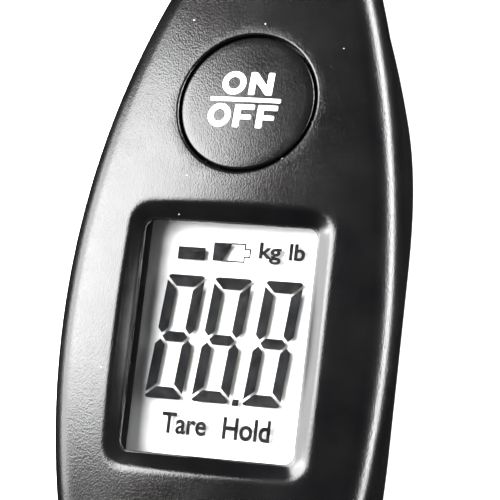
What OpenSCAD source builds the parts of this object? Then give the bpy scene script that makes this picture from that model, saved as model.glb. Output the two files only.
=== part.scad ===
// Digital luggage scale, lying on its back.
// The face looks up (+Z), the power button end points to +Y, and the flat back lies on z = 0.

/* [Body] */
// Width of the body at its middle
body_w = 42; // [40:0.5:44]
// Length of the body along Y
body_len = 122; // [120:1:126]
// Height of the face above the back, at the middle
body_h = 26; // [25.5:0.5:27]
// Radius of the two long side arcs, seen from the front
side_r = 121; // [118:1:126]
// Wall thickness of both covers
wall = 2; // [1.8:0.1:2.2]
// Depth of the front cover's rim, from the face to the seam
rim_h = 3.5; // [3:0.1:4]
// Radius of the face along the body
crown_long_r = 171; // [160:1:185]
// Radius of the face across the body
crown_cross_r = 92; // [85:1:110]

/* [Display] */
// Width of the display opening at the lip
view_w = 21.7; // [20:0.1:22]
// Height of the display opening at the lip
view_len = 27.6; // [26:0.1:28]
// Place of the display's middle along the body
view_y = -0.5; // [-1:0.1:0]
// Width of the bevelled recess at the face
recess_w = 25.6; // [24:0.1:26]
// Height of the bevelled recess at the face
recess_len = 32; // [30:0.1:32.4]
// Depth of the lip below the top of the face
lip_depth = 2.2; // [2:0.1:2.4]

/* [Buttons] */
// Radius of the power button
button_r = 8.4; // [7.5:0.1:8.6]
// Distance of the power button from the middle of the body
button_y = 28; // [27:0.5:29]
// Travel of the power button
button_travel = 0.35; // [0.2:0.05:0.4]
// Radius of the unit button on the back
unit_r = 3; // [2.5:0.1:3.2]

/* [Load path] */
// Height of the load line above the back
load_z = 9.5; // [9.3:0.1:9.8]
// Distance of the ring and hook pivots from the middle
pivot_y = 66; // [65:0.5:68]
// Radius of the strap ring's wire
ring_wire_r = 1.75; // [1.5:0.05:2]
// Radius of the hook's wire
hook_wire_r = 2; // [1.8:0.1:2.2]
// Radius of the hook's bowl, to the middle of the wire
bowl_r = 13.5; // [12:0.5:15]

/* [Hand loop] */
// Width of the webbing
strap_w = 24; // [20:1:25]
// Thickness of the webbing
strap_t = 1.4; // [1.2:0.1:1.6]
// Length of the loop beyond the ring
loop_len = 104; // [95:1:120]
// Height of the loop's inside at its far end
loop_h = 24; // [20:1:30]

/* [Hidden] */
$fn = 96;
gap = 0.1;                       // assembly gap between neighbouring parts
big = 60;                        // longer than any depth that is cut

// Heights of the inner stack
door_t = 1.4;                    // battery door
cell_z = 1.6;                    // underside of the battery
cell_h = 3.2;
box_top = 6.3;                   // top of the battery box
plate_t = 5.8;                   // load cell plate
plate_z = load_z - plate_t / 2;
board_z = 14;                    // underside of the circuit board
board_t = 1.6;
board_top = board_z + board_t;
glass_z = 19.6;
glass_t = 2.2;
film_t = 0.2;                    // polarizer and reflector films
lip_z = body_h - lip_depth;      // upper side of the display lip
lip_t = 0.5;
window_t = 1;
window_z = lip_z - lip_t - window_t;

// Plan of the covers
side_x = side_r - body_w / 2;    // distance of the side arcs' centres
hull_r = 150;                    // arc of the back's flanks, seen from the end
flank_lean = 12;                 // degrees from upright, at flank_z
flank_z = 20;
hull_x = hull_r * cos(flank_lean) - body_w / 2 + 0.4;
hull_z = flank_z + hull_r * sin(flank_lean);
lean_r = 200;                    // arc of the back's walls, seen in section
lean = 7;                        // degrees from upright, at lean_z
lean_z = 21;
tail_y = 38;                     // where the back begins to rise
tail_rise = 3.2;
screw_x = 8.9;
screw_y = 36;
post_x = 7;                      // load cell posts
post_y = 13.6;
board_screws_at = [[-11.2, 20.5], [11.2, 20.5], [-11.2, -24]];
unit_at = [8.5, -23.5];

// Power button and its collar
collar_r = button_r + 1.8;
collar_z = 18.9;
hole_r = button_r + 0.22;
flange_t = 1.1;

// Push switches
switch_w = 6.2;
switch_h = 3.4;
plunger_r = 1.7;
plunger_top = 20.9;
stem_top = board_z - switch_h - 1;

// Battery box and its bayonet door
door_r = 12.4;
throat_r = 11.6;
box_r = 13.9;
cell_r = 10;
groove_z = 2.3;
groove_top = 3.5;
lug_arc = 22;                    // degrees
lugs = 3;

// Load path
cell_w = 20;
cell_len = 34;
bolt_r = 2;
tongue_w = 5;
tongue_h = 7;
pin_clear = 0.06;
nut_h = 2.4;

// Strap ring, drooped from its pivot until the webbing lies on z = 0
ring_in_w = 27;
ring_pitch = 14;                 // from bar to bar
ring_bend = 3;
strap_play = 0.12;
ring_far_z = ring_wire_r + strap_play + strap_t;
ring_tilt = asin((load_z - ring_far_z) / ring_pitch);
ring_far_y = pivot_y + ring_pitch * cos(ring_tilt);
ring_side = ring_pitch - 2 * ring_bend;
ring_half = ring_in_w / 2 + ring_wire_r - ring_bend;

// Hook: an eye bent round the pivot, a neck, a shank, a kick and the bowl
eye_half = 4;
eye_bend = 3.5;
eye_turn = 130;
neck_bend = 6;
neck_turn = eye_turn - 90;
eye_reach = eye_half + eye_bend * sin(eye_turn);
eye_leg = (eye_reach - neck_bend * (1 - cos(neck_turn))) / sin(neck_turn);
short_leg = (eye_reach - hook_wire_r - 0.4) / sin(neck_turn);
shank = 6;
kick_bend = 8;
kick_turn = 50;
kick_run = (bowl_r * cos(kick_turn) - kick_bend * (1 - cos(kick_turn))) / sin(kick_turn);
bowl_turn = 250;
tip_bend = 6;
tip_turn = 40;
tip_run = 1.5;
eye_drop = eye_bend * (1 - cos(eye_turn)) + eye_leg * cos(neck_turn) + neck_bend * sin(neck_turn);
bowl_low = eye_drop + shank + (kick_bend + bowl_r) * sin(kick_turn) + kick_run * cos(kick_turn) + bowl_r;
hook_tilt = asin((load_z - hook_wire_r) / bowl_low);

// ---- Shared shapes ----

// Outline of the covers seen from the front: two side arcs, cut by one arc about the middle
module plan(inset = 0) {
    intersection() {
        translate([side_x, 0]) circle(r = side_r - inset, $fn = 360);
        translate([-side_x, 0]) circle(r = side_r - inset, $fn = 360);
        circle(r = body_len / 2 - inset, $fn = 360);
    }
}

module prism(inset = 0, low = -1, high = 30) {
    translate([0, 0, low]) linear_extrude(height = high - low) plan(inset);
}

// Everything below the doubly curved face, lowered by drop
module dome(drop = 0) {
    inner_r = crown_long_r / 2;
    translate([0, 0, body_h - crown_long_r])
        rotate([0, 90, 0])
            rotate_extrude($fn = 360)
                intersection() {
                    translate([crown_long_r - crown_cross_r, 0]) circle(r = crown_cross_r - drop, $fn = 360);
                    translate([inner_r, -body_w * 0.6]) square([crown_long_r, body_w * 1.2]);
                }
}

// A disc, or a ring round hollow_r, whose rim leans inwards below lean_z
module leaning_disc(rim_r, hollow_r = 0) {
    rotate_extrude($fn = 360)
        intersection() {
            translate([rim_r - lean_r * cos(lean), lean_z + lean_r * sin(lean)]) circle(r = lean_r, $fn = 360);
            translate([hollow_r, -1.5]) square([rim_r, body_h + 3]);
        }
}

// The back's walls lean in all round, and a long bar along Y narrows its middle further
module flanks(inset = 0) {
    intersection() {
        rotate([90, 0, 0])
            linear_extrude(height = 2 * body_len, center = true)
                intersection() {
                    translate([hull_x, hull_z]) circle(r = hull_r - inset, $fn = 360);
                    translate([-hull_x, hull_z]) circle(r = hull_r - inset, $fn = 360);
                }
        leaning_disc(body_len / 2 - inset);
        translate([side_x, 0, 0]) leaning_disc(side_r - inset, side_r / 2);
        translate([-side_x, 0, 0]) leaning_disc(side_r - inset, side_r / 2);
    }
}

// The back seen from the side: flat in the middle and rising to both ends
module keel(inset = 0) {
    half = body_len / 2 + 1;
    rotate([90, 0, 90])
        linear_extrude(height = 2 * body_w, center = true)
            polygon([
                [-half, tail_rise + inset], [-tail_y, inset], [tail_y, inset], [half, tail_rise + inset],
                [half, big], [-half, big]
            ]);
}

module bar_x(r, length) {
    rotate([0, 90, 0]) cylinder(r = r, h = length, center = true);
}

module block(size, at) {
    translate([at[0] - size[0] / 2, at[1] - size[1] / 2, at[2]]) cube(size);
}

// A round wire of straight runs and bends, starting along +X; each entry is [run, bend radius, turn]
module wire(runs, r, i = 0) {
    run = runs[i][0];
    bend = runs[i][1];
    turn = runs[i][2];
    side = sign(turn);
    if (run > 0)
        rotate([0, 90, 0]) cylinder(r = r, h = run);
    if (turn != 0)
        translate([run, side * bend, 0])
            rotate([0, 0, turn > 0 ? -90 : 90 + turn])
                rotate_extrude(angle = abs(turn)) translate([bend, 0]) circle(r = r);
    if (i < len(runs) - 1)
        translate([run, side * bend, 0])
            rotate([0, 0, turn])
                translate([0, -side * bend, 0])
                    wire(runs, r, i + 1);
}

// The middle line of a bent wire, starting along +X; each entry is [run, bend radius, turn]
function spin(v, turn) = [v[0] * cos(turn) - v[1] * sin(turn), v[0] * sin(turn) + v[1] * cos(turn)];
function trace(runs, at = [0, 0], way = [1, 0], i = 0) =
    let (
        run = runs[i][0], bend = runs[i][1], turn = runs[i][2],
        start = at + run * way,
        hub = start + sign(turn) * bend * [-way[1], way[0]],
        steps = ceil(abs(turn) / 9),
        arc = steps == 0 ? [start] : [for (k = [0 : steps]) hub + spin(start - hub, turn * k / steps)],
        here = run > 0 && i > 0 ? arc : concat(i == 0 ? [at] : [], arc)
    )
    i == len(runs) - 1 ? here : concat(here, trace(runs, arc[len(arc) - 1], spin(way, turn), i + 1));
function distinct(p) = [for (i = [0 : len(p) - 1]) if (i == 0 || norm(p[i] - p[max(i - 1, 0)]) > 0.01) p[i]];
function lifted(p) = [for (q = distinct(p)) [q[0], q[1], 0]];

// A thin round tube along a list of points, as one closed skin
function unit(v) = v / norm(v);
function heading(path, i) = unit(path[min(i + 1, len(path) - 1)] - path[max(i - 1, 0)]);
function across(d) = unit(cross(d, abs(d[2]) > 0.9 ? [1, 0, 0] : [0, 0, 1]));
module tube(path, r, sides = 8) {
    n = len(path);
    rings = [
        for (i = [0 : n - 1])
            let (d = heading(path, i), u = across(d), v = cross(d, u))
            for (k = [0 : sides - 1])
                path[i] + r * (cos(360 * k / sides) * u + sin(360 * k / sides) * v)
    ];
    skin = [
        for (i = [0 : n - 2])
            for (k = [0 : sides - 1])
                let (a = i * sides, b = (k + 1) % sides)
                [a + k, a + sides + k, a + sides + b, a + b]
    ];
    caps = [
        [for (k = [0 : sides - 1]) k],
        [for (k = [sides - 1 : -1 : 0]) (n - 1) * sides + k]
    ];
    polyhedron(points = rings, faces = concat(skin, caps), convexity = 4);
}

// Points of a path with its corners cut into short steps, so that a lead bends smoothly
function softened(p, times = 2) = times == 0 ? p : softened(
    concat(
        [p[0]],
        [for (i = [0 : len(p) - 2]) each [p[i] * 0.75 + p[i + 1] * 0.25, p[i] * 0.25 + p[i + 1] * 0.75]],
        [p[len(p) - 1]]
    ),
    times - 1
);

// ---- Front cover, with the display recess, the button collar and the screw bosses ----

module recess() {
    z_top = body_h + 0.5;
    grow = (z_top - lip_z) / (body_h - 0.4 - lip_z);
    low = [view_w / 2, view_len / 2];
    high = [
        low[0] + (recess_w / 2 - low[0]) * grow,
        low[1] + (recess_len / 2 - low[1]) * grow
    ];
    corners = [[-1, -1], [1, -1], [1, 1], [-1, 1]];
    polyhedron(
        points = concat(
            [for (c = corners) [c[0] * low[0], view_y + c[1] * low[1], lip_z]],
            [for (c = corners) [c[0] * high[0], view_y + c[1] * high[1], z_top]]
        ),
        faces = [[0, 1, 2, 3], [7, 6, 5, 4], [4, 5, 1, 0], [5, 6, 2, 1], [6, 7, 3, 2], [7, 4, 0, 3]]
    );
    block([view_w, view_len, 4], [0, view_y, lip_z - 3]);
}

module nose_slots() {
    slot_w = tongue_w + 0.8;
    slot_h = tongue_h + 0.6;
    for (side = [-1, 1])
        block([slot_w, 12, slot_h], [0, side * (body_len / 2 - 2), load_z - slot_h / 2]);
}

module front_cover() {
    boss_r = 2;
    board_boss_r = 1.8;
    pilot_r = 0.85;
    color([0.07, 0.07, 0.075])
        difference() {
            union() {
                difference() {
                    intersection() {
                        prism();
                        dome();
                    }
                    dome(rim_h);
                    intersection() {
                        prism(wall + 0.2);
                        dome(wall);
                    }
                }
                intersection() {
                    union() {
                        translate([0, button_y, collar_z]) cylinder(r = collar_r, h = big);
                        block([29, 34.8, big], [0, view_y, window_z - gap]);
                        for (sx = [-1, 1], sy = [-1, 1])
                            translate([sx * screw_x, sy * screw_y, 16.1]) cylinder(r = boss_r, h = big);
                        for (p = board_screws_at)
                            translate([p[0], p[1], board_top]) cylinder(r = board_boss_r, h = big);
                    }
                    dome(wall / 2);
                }
            }
            recess();
            block([view_w + 2.6, view_len + 2.6, window_t + gap + 1], [0, view_y, window_z - gap - 1]);
            translate([0, button_y, 10]) cylinder(r = hole_r, h = big);
            for (sx = [-1, 1], sy = [-1, 1])
                translate([sx * screw_x, sy * screw_y, 15]) cylinder(r = pilot_r, h = 5);
            for (p = board_screws_at)
                translate([p[0], p[1], board_top - 1]) cylinder(r = 0.7, h = 5);
            nose_slots();
        }
}

// ---- Rear cover, with the battery box, the posts and the screw bosses ----

module rear_cover() {
    boss_r = 2.6;
    post_r = 2;
    color([0.08, 0.08, 0.085])
        difference() {
            union() {
                difference() {
                    intersection() {
                        prism();
                        dome(rim_h);
                        flanks();
                        keel();
                    }
                    intersection() {
                        prism(wall);
                        flanks(wall);
                        keel(wall);
                    }
                }
                intersection() {
                    union() {
                        cylinder(r = box_r, h = box_top);
                        for (sx = [-1, 1]) {
                            translate([sx * post_x, post_y, 0]) cylinder(r = post_r, h = plate_z);
                            for (sy = [-1, 1])
                                translate([sx * screw_x, sy * screw_y, 0]) cylinder(r = boss_r, h = 16);
                        }
                        translate([unit_at[0], unit_at[1], 0]) cylinder(r = unit_r + 1.9, h = 3.2);
                    }
                    prism();
                    flanks();
                    keel();
                }
            }
            battery_bay();
            translate([unit_at[0], unit_at[1], -1]) cylinder(r = unit_r + 0.15, h = big);
            translate([unit_at[0], unit_at[1], 1.8]) cylinder(r = unit_r + 1.05, h = big);
            for (sx = [-1, 1]) {
                translate([sx * post_x, post_y, 2]) cylinder(r = 0.8, h = big);
                for (sy = [-1, 1]) {
                    translate([sx * screw_x, sy * screw_y, -1]) cylinder(r = 1.15, h = big);
                    translate([sx * screw_x, sy * screw_y, -1]) cylinder(r = 1.9, h = 3.4);
                }
            }
            nose_slots();
        }
}

// Door seat, throat with lug entries, lug groove, cell pocket and contact windows
module battery_bay() {
    translate([0, 0, -1]) cylinder(r = door_r + 0.2, h = door_t + 1.1);
    cylinder(r = throat_r + 0.15, h = groove_top - 0.1);
    translate([0, 0, groove_z]) cylinder(r = door_r, h = groove_top - groove_z);
    for (k = [0 : lugs - 1])
        rotate([0, 0, 60 + 360 / lugs * k])
            sector(door_r - 0.15, lug_arc + 6, 0.5, groove_top - 0.7);
    cylinder(r = cell_r + 0.3, h = box_top - 1);
    for (side = [-1, 1])
        block([5, 4.4, big], [0, side * 12, cell_z + 2.2]);
}

// A pie slice of a disc, centred on +X
module sector(r, angle, low, h) {
    intersection() {
        translate([0, 0, low]) cylinder(r = r, h = h);
        translate([0, 0, low - 1])
            linear_extrude(height = h + 2)
                polygon([[0, 0], for (s = [-1, 0, 1]) 2 * r * [cos(s * angle / 2), sin(s * angle / 2)]]);
    }
}

// Round door with a grip bar between two half-moon recesses, a collar and three bayonet lugs
module battery_door() {
    collar_in = cell_r + 0.4;
    grip_r = 8.5;
    grip_w = 3;
    grip_depth = 0.8;
    color([0.08, 0.08, 0.085])
        difference() {
            union() {
                cylinder(r = door_r, h = door_t);
                cylinder(r = throat_r, h = groove_top - 0.2);
                for (k = [0 : lugs - 1])
                    rotate([0, 0, 360 / lugs * k])
                        sector(door_r - 0.3, lug_arc, groove_z + 0.1, groove_top - groove_z - 0.3);
            }
            translate([0, 0, door_t]) cylinder(r = collar_in, h = big);
            difference() {
                translate([0, 0, -1]) cylinder(r = grip_r, h = 1 + grip_depth);
                block([2 * grip_r + 2, grip_w, 4], [0, 0, -2]);
            }
        }
}

// ---- Display ----

module display_window() {
    color([0.75, 0.8, 0.82, 0.35])
        block([view_w + 2.2, view_len + 2.2, window_t], [0, view_y, window_z]);
}

module lcd_polarizer() {
    color([0.6, 0.62, 0.6, 0.5])
        block([view_w + 0.9, view_len + 1, film_t], [0, view_y, glass_z + glass_t]);
}

module lcd_glass() {
    color([0.78, 0.82, 0.8, 0.5])
        block([24.4, 31.6, glass_t], [0, view_y, glass_z]);
}

module lcd_reflector() {
    color([0.9, 0.9, 0.88])
        block([view_w + 0.9, 26.4, film_t], [0, view_y, glass_z - film_t]);
}

module lcd_frame() {
    h = window_z - 0.2 - board_top;
    color([0.12, 0.12, 0.12])
        difference() {
            block([27.4, 34.6, h], [0, view_y, board_top]);
            block([24.7, 31.9, big], [0, view_y, board_top - 1]);
        }
}

module zebra_strips() {
    color([0.2, 0.2, 0.22])
        for (side = [-1, 1])
            block([22, 2, glass_z - board_top], [0, view_y + side * 14.6, board_top]);
}

// ---- Electronics ----

module circuit_board() {
    color([0.06, 0.3, 0.16])
        difference() {
            translate([0, 0, board_z])
                linear_extrude(height = board_t)
                    polygon([
                        [-13, -28], [13, -28], [13, 23], [6, 26], [6, 38],
                        [-6, 38], [-6, 26], [-13, 23]
                    ]);
            for (p = board_screws_at)
                translate([p[0], p[1], 0]) cylinder(r = 0.95, h = big);
        }
}

module controller_chip() {
    color([0.05, 0.05, 0.06])
        intersection() {
            translate([0, -1, board_top + 1.2 - 9]) sphere(r = 9);
            block([12, 12, 3], [0, -1, board_top]);
        }
}

module amplifier_chip() {
    color([0.06, 0.06, 0.07])
        block([5, 4, 1.3], [6, 9, board_top]);
    color([0.75, 0.75, 0.76])
        for (side = [-1, 1], k = [-1.5 : 1 : 1.5])
            block([0.4, 1, 0.5], [6 + 1.27 * k, 9 + side * 2.5, board_top]);
}

module board_passives() {
    color([0.65, 0.5, 0.35])
        for (k = [0 : 4])
            block([1, 2, 0.8], [-9 + 2.2 * k, 9, board_top]);
    color([0.75, 0.6, 0.3])
        for (k = [0 : 2])
            block([2, 1.2, 1], [-8 + 3.4 * k, -9.5, board_top]);
}

module crystal_can() {
    color([0.8, 0.8, 0.82])
        translate([5, -9.5, board_top + 1.05])
            bar_x(1, 6);
}

// Square switch body standing on z = 0, with the well that its plunger sinks into
module switch_body() {
    color([0.1, 0.1, 0.1])
        difference() {
            block([switch_w, switch_w, switch_h], [0, 0, 0]);
            translate([0, 0, switch_h - 1]) cylinder(r = plunger_r + 0.1, h = 2);
        }
}

module power_switch() {
    translate([0, button_y, board_top]) switch_body();
}

module power_switch_plunger() {
    low = board_top + switch_h - 0.3;
    color([0.75, 0.72, 0.65])
        translate([0, button_y, low]) cylinder(r = plunger_r, h = plunger_top - low);
}

module unit_switch() {
    translate([unit_at[0], unit_at[1], board_z]) mirror([0, 0, 1]) switch_body();
}

module unit_switch_plunger() {
    color([0.75, 0.72, 0.65])
        translate([unit_at[0], unit_at[1], stem_top]) cylinder(r = plunger_r, h = board_z - switch_h + 0.3 - stem_top);
}

// ---- Buttons ----

// A cap with the face's own curve, a flange under the collar and a post onto the switch
module power_button() {
    flange_z = collar_z - 0.15 - flange_t;
    color([0.07, 0.07, 0.075])
        difference() {
            union() {
                intersection() {
                    translate([0, button_y, flange_z]) cylinder(r = button_r, h = big);
                    dome(0.15);
                }
                translate([0, button_y, flange_z]) cylinder(r = collar_r - 0.5, h = flange_t);
            }
            difference() {
                intersection() {
                    translate([0, button_y, 0]) cylinder(r = button_r - 1.3, h = big);
                    dome(1.7);
                }
                translate([0, button_y, plunger_top]) cylinder(r = 2.2, h = big);
            }
        }
}

module unit_button() {
    color([0.25, 0.25, 0.26])
        translate([unit_at[0], unit_at[1], 0]) {
            translate([0, 0, 0.2]) cylinder(r = unit_r, h = 2);
            translate([0, 0, 1.9]) cylinder(r = unit_r + 0.85, h = 0.9);
            translate([0, 0, 2.7]) cylinder(r = 1.6, h = stem_top - 2.7);
        }
}

// ---- Load path ----

// S-shaped plate: two slots from opposite edges and a pair of joined bores between them
module load_cell() {
    slot_w = 1.6;
    slot_y = 6.5;
    bore_r = 3.2;
    bore_x = 3.6;
    color([0.78, 0.79, 0.8])
        difference() {
            block([cell_w, cell_len, plate_t], [0, 0, plate_z]);
            block([cell_w - 3, slot_w, big], [-3, slot_y, 0]);
            block([cell_w - 3, slot_w, big], [3, -slot_y, 0]);
            for (side = [-1, 1])
                translate([side * bore_x, 0, 0]) cylinder(r = bore_r, h = big);
            block([2 * bore_x, 1.2, big], [0, 0, 0]);
            for (side = [-1, 1]) {
                translate([0, side * (cell_len / 2 - 3.5), load_z])
                    rotate([90, 0, 0]) cylinder(r = bolt_r, h = 7.2, center = true);
                translate([side * post_x, post_y, 0]) cylinder(r = 1.2, h = big);
            }
        }
}

module strain_gauges() {
    color([0.85, 0.6, 0.2])
        for (sx = [-1, 1], sy = [-1, 1])
            block([4, 2.2, 0.12], [sx * 3.6, sy * 4.4, plate_z + plate_t]);
}

module gauge_wires() {
    cell_top = plate_z + plate_t;
    colors = ["red", "black", "white", "green"];
    for (k = [0 : 3]) {
        x = 1.6 * (k - 1.5);
        color(colors[k])
            tube(
                softened([
                    [x, -4.4, cell_top + 0.5], [x, -6, cell_top + 0.6], [x, -13, cell_top + 0.6],
                    [x, -15.5, cell_top + 0.7], [x, -16, board_z - 0.02]
                ]),
                0.3
            );
    }
}

module load_cell_screws() {
    top = plate_z + plate_t;
    color([0.75, 0.75, 0.77])
        for (side = [-1, 1])
            translate([side * post_x, post_y, 0]) {
                translate([0, 0, top]) cylinder(r = 1.9, h = 1.2);
                translate([0, 0, 2.6]) cylinder(r = 0.95, h = top - 2.6 + 0.4);
            }
}

// Threaded shank along Y, with a flat tongue that carries the cross bore
module eye_bolt(bore_r) {
    tongue_len = 16;
    round_r = tongue_h / 2 + 0.4;
    difference() {
        union() {
            translate([0, cell_len / 2 - 6.5, load_z])
                rotate([-90, 0, 0]) cylinder(r = bolt_r, h = pivot_y - tongue_len + 1 - cell_len / 2 + 6.5);
            intersection() {
                block([tongue_w, tongue_len + 6, tongue_h], [0, pivot_y - tongue_len / 2 + 3, load_z - tongue_h / 2]);
                union() {
                    translate([0, pivot_y, load_z]) bar_x(round_r, tongue_w + 2);
                    block([tongue_w + 2, tongue_len, tongue_h + 2],
                        [0, pivot_y - tongue_len / 2, load_z - tongue_h / 2 - 1]);
                }
            }
        }
        translate([0, pivot_y, load_z]) bar_x(bore_r, tongue_w + 2);
    }
}

module upper_eye_bolt() {
    color([0.7, 0.7, 0.72]) eye_bolt(ring_wire_r + pin_clear);
}

module lower_eye_bolt() {
    color([0.7, 0.7, 0.72]) mirror([0, 1, 0]) eye_bolt(hook_wire_r + pin_clear);
}

module lock_nuts() {
    color([0.7, 0.7, 0.72])
        for (side = [-1, 1])
            translate([0, side * (cell_len / 2 + gap / 2 + nut_h / 2), load_z])
                rotate([90, 0, 0])
                    difference() {
                        cylinder(r = 3.6, h = nut_h, center = true, $fn = 6);
                        cylinder(r = bolt_r, h = nut_h + 1, center = true);
                    }
}

module strap_ring() {
    color([0.75, 0.76, 0.78])
        translate([0, pivot_y, load_z])
            rotate([-ring_tilt, 0, 0])
                wire([
                    [ring_half, ring_bend, 90],
                    [ring_side, ring_bend, 90],
                    [2 * ring_half, ring_bend, 90],
                    [ring_side, ring_bend, 90],
                    [ring_half, 0, 0]
                ], ring_wire_r);
}

// The bar through the pivot is a true cylinder; the bent wire enters both of its ends
module hook() {
    inside = 0.15;
    color([0.75, 0.76, 0.78])
        translate([0, -pivot_y, load_z])
            rotate([hook_tilt, 0, 0]) {
                bar_x(hook_wire_r, 2 * eye_half);
                translate([eye_half - inside, 0, 0])
                    tube(
                        lifted(trace([
                            [inside, eye_bend, -eye_turn],
                            [eye_leg, neck_bend, neck_turn],
                            [shank, kick_bend, -kick_turn],
                            [kick_run, bowl_r, bowl_turn],
                            [0, tip_bend, -tip_turn],
                            [tip_run, 0, 0]
                        ])),
                        hook_wire_r - 0.01, 16
                    );
                mirror([1, 0, 0])
                    translate([eye_half - inside, 0, 0])
                        tube(
                            lifted(trace([[inside, eye_bend, -eye_turn], [short_leg, 0, 0]])),
                            hook_wire_r - 0.01, 16
                        );
            }
}

// ---- Hand loop: webbing sewn round the ring's far bar ----

seam_start = ring_far_y + 12;
seam_end = seam_start + 10;
loop_r = loop_h / 2 + strap_t;
loop_far_y = seam_end + loop_len - loop_r;

// Arc about y = at that stands on z = low, from its foot to where a straight run from the tip meets it
function arc_points(tip, at, r, low) =
    let (
        steps = 24,
        way = sign(at - tip[0]),
        rise = tip[1] - low - r,
        reach = abs(at - tip[0]),
        top = 180 - atan2(rise, reach) - acos(r / norm([rise, reach]))
    )
    [for (k = [0 : steps]) let (a = -90 + (top + 90) * k / steps) [at + way * r * cos(a), low + r + r * sin(a)]];
function backwards(p) = [for (i = [len(p) - 1 : -1 : 0]) p[i]];

module hand_loop() {
    bar_r = ring_wire_r + strap_play;
    eye_tip = [seam_start, strap_t];
    loop_tip = [seam_end, strap_t];
    color([0.05, 0.05, 0.055])
        rotate([90, 0, 90])
            linear_extrude(height = strap_w, center = true)
                difference() {
                    polygon(concat(
                        arc_points([seam_start, 2 * strap_t], ring_far_y, bar_r + strap_t, 0),
                        [[seam_start, 2 * strap_t], [seam_end, 2 * strap_t]],
                        backwards(arc_points([seam_end, 2 * strap_t], loop_far_y, loop_r, 0))
                    ));
                    polygon(concat(arc_points(eye_tip, ring_far_y, bar_r, strap_t), [eye_tip]));
                    polygon(concat(arc_points(loop_tip, loop_far_y, loop_r - strap_t, strap_t), [loop_tip]));
                }
}

// ---- Battery and its leads ----

module battery_cell() {
    color([0.8, 0.8, 0.82]) {
        translate([0, 0, cell_z]) cylinder(r = cell_r, h = cell_h - 0.4);
        translate([0, 0, cell_z + cell_h - 0.5]) cylinder(r = cell_r - 1.2, h = 0.5);
    }
}

module positive_contact() {
    color([0.8, 0.78, 0.7]) {
        block([4, 0.4, 2.4], [0, cell_r + 0.25, cell_z + 2.3]);
        block([4, 3, 0.4], [0, cell_r + 1.75, cell_z + 4.3]);
    }
}

module negative_contact() {
    low = cell_z + cell_h;
    color([0.8, 0.78, 0.7]) {
        block([5, 9, 0.3], [0, -4, low]);
        block([4, 5.2, 0.3], [0, -10.9, low]);
    }
}

module battery_leads() {
    lead_r = 0.45;
    lead_x = 11.6;
    lead_y = 18;
    for (side = [-1, 1])
        let (low = side > 0 ? cell_z + 3.8 : cell_z + 3.98)
            color(side > 0 ? "red" : "black")
                tube(
                    softened([
                        [side * 1.2, side * 12.4, low], [side * 1.2, side * 16.4, low],
                        [side * 4, side * lead_y, low], [side * lead_x, side * lead_y, low],
                        [side * lead_x, side * lead_y, board_z - 3], [side * lead_x, side * lead_y, board_z - 0.05]
                    ]),
                    lead_r
                );
}

// ---- Screws ----

module screw(head_r, head_h, shank_r, length) {
    cylinder(r = head_r, h = head_h);
    cylinder(r = shank_r, h = length);
}

module case_screws() {
    color([0.6, 0.6, 0.62])
        for (sx = [-1, 1], sy = [-1, 1])
            translate([sx * screw_x, sy * screw_y, 0.9])
                difference() {
                    screw(1.7, 1.4, 0.95, 18.2);
                    for (a = [0, 90])
                        rotate([0, 0, a]) block([2, 0.5, 1.4], [0, 0, -0.8]);
                }
}

module board_screws() {
    head_h = 1.1;
    color([0.7, 0.7, 0.72])
        for (p = board_screws_at)
            translate([p[0], p[1], board_z - head_h])
                difference() {
                    screw(1.6, head_h, 0.8, 6);
                    for (a = [0, 90])
                        rotate([0, 0, a]) block([1.9, 0.4, 1.2], [0, 0, -0.7]);
                }
}

front_cover();
rear_cover();
battery_door();
display_window();
lcd_polarizer();
lcd_glass();
lcd_reflector();
lcd_frame();
zebra_strips();
circuit_board();
controller_chip();
amplifier_chip();
board_passives();
crystal_can();
power_button();
power_switch();
power_switch_plunger();
unit_button();
unit_switch();
unit_switch_plunger();
load_cell();
strain_gauges();
gauge_wires();
load_cell_screws();
upper_eye_bolt();
lower_eye_bolt();
lock_nuts();
strap_ring();
hand_loop();
hook();
battery_cell();
positive_contact();
negative_contact();
battery_leads();
case_screws();
board_screws();
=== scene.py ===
import math

import bmesh
import bpy
import numpy as np
from mathutils import Matrix, Vector, geometry


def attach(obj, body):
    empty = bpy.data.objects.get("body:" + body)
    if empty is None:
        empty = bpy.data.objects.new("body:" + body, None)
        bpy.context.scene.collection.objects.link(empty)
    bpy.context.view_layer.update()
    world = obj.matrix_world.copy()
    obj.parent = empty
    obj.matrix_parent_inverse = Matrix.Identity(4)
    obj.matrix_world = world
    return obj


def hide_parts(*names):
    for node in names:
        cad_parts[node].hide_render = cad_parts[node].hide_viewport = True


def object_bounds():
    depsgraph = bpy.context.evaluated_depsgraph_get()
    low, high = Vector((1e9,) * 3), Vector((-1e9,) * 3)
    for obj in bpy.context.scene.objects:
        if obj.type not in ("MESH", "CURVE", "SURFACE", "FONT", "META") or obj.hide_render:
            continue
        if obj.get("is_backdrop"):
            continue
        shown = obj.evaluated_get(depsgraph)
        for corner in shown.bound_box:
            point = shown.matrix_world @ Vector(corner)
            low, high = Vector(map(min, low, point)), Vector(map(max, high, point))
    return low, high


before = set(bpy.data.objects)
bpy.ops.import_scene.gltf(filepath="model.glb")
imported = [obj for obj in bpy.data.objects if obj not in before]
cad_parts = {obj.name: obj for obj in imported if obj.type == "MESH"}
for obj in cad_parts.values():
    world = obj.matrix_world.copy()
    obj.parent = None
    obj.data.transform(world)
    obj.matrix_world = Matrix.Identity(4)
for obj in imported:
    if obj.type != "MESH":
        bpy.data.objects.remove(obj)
cad_low, cad_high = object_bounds()

# Lengths are millimetres until a mesh is made; MM turns them into the frame's metres.
MM = 0.001

# ---- Camera: looks down on the face from the lower right, rolled a little ----

AIM = Vector((3.5, 10.0, 26.0))
DISTANCE = 290.4
TILT_RIGHT = math.radians(20.1)
TILT_DOWN = math.radians(7.8)
ROLL = math.radians(6.6)


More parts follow.
